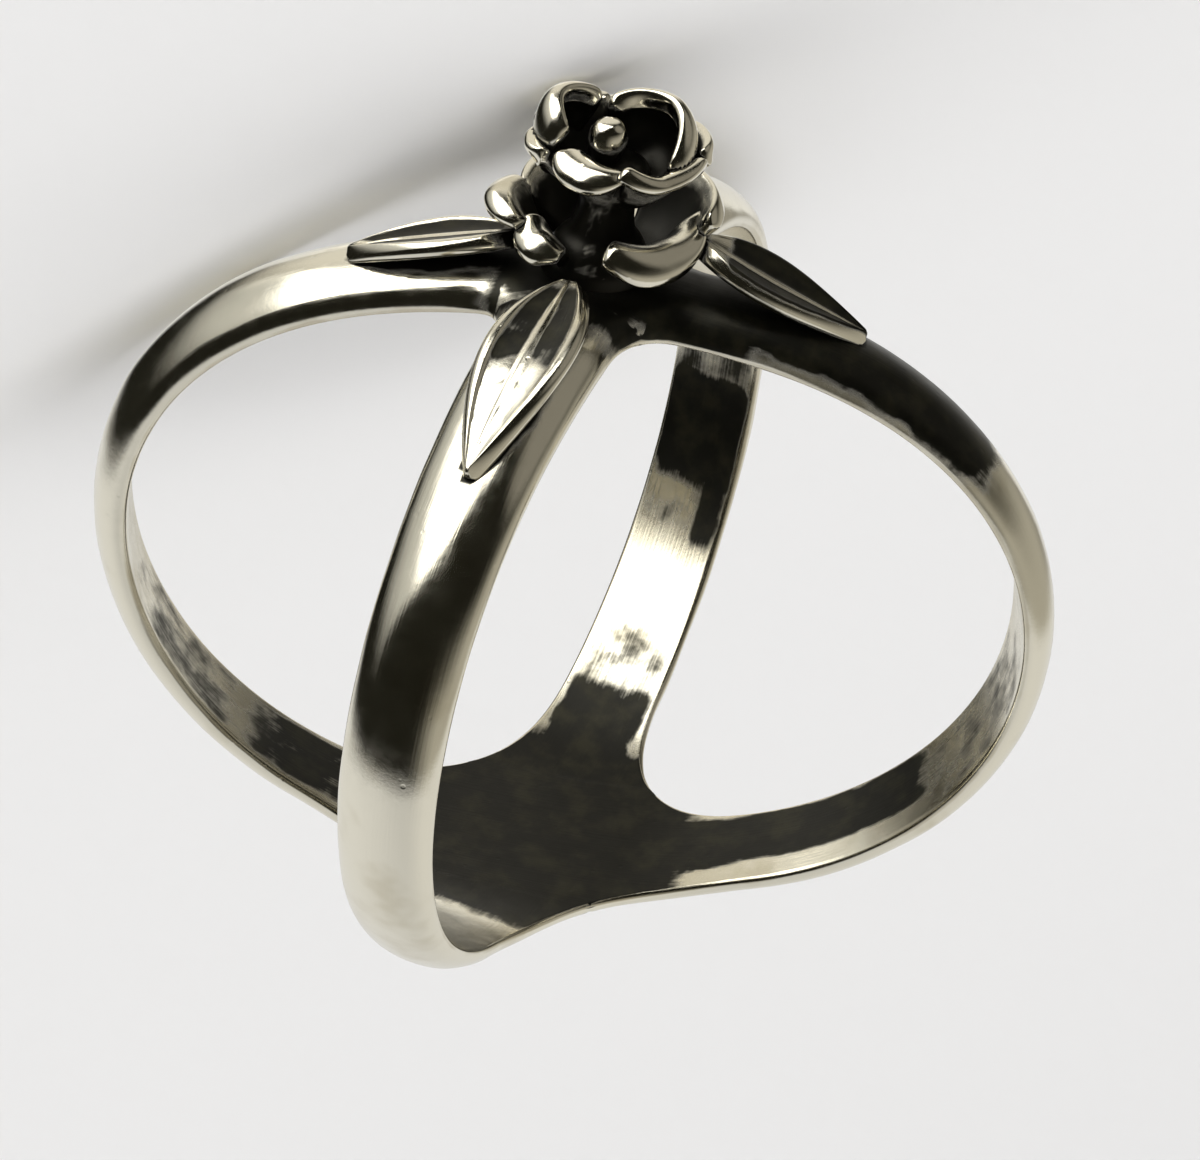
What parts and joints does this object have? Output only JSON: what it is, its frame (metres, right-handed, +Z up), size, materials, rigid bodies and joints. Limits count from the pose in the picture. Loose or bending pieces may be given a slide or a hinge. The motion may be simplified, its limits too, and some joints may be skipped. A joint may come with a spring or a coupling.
{
  "type": "crossover ring",
  "caption": "Silver finger ring: bands cross over and under the finger, with a rose and leaves soldered on the upper crossing.",
  "frame": {"origin": "on the table under the middle of the ring's box, with the ring lying on its side", "axes": "+Z up from the table, +Y towards the rose in plan, +X along the line through the two arms that it lies on"},
  "size_m": [0.0212, 0.0214, 0.0193],
  "materials": {
    "silver": null
  },
  "bodies": {
    "root": {"ring": "silver"}
  },
  "joints": []
}
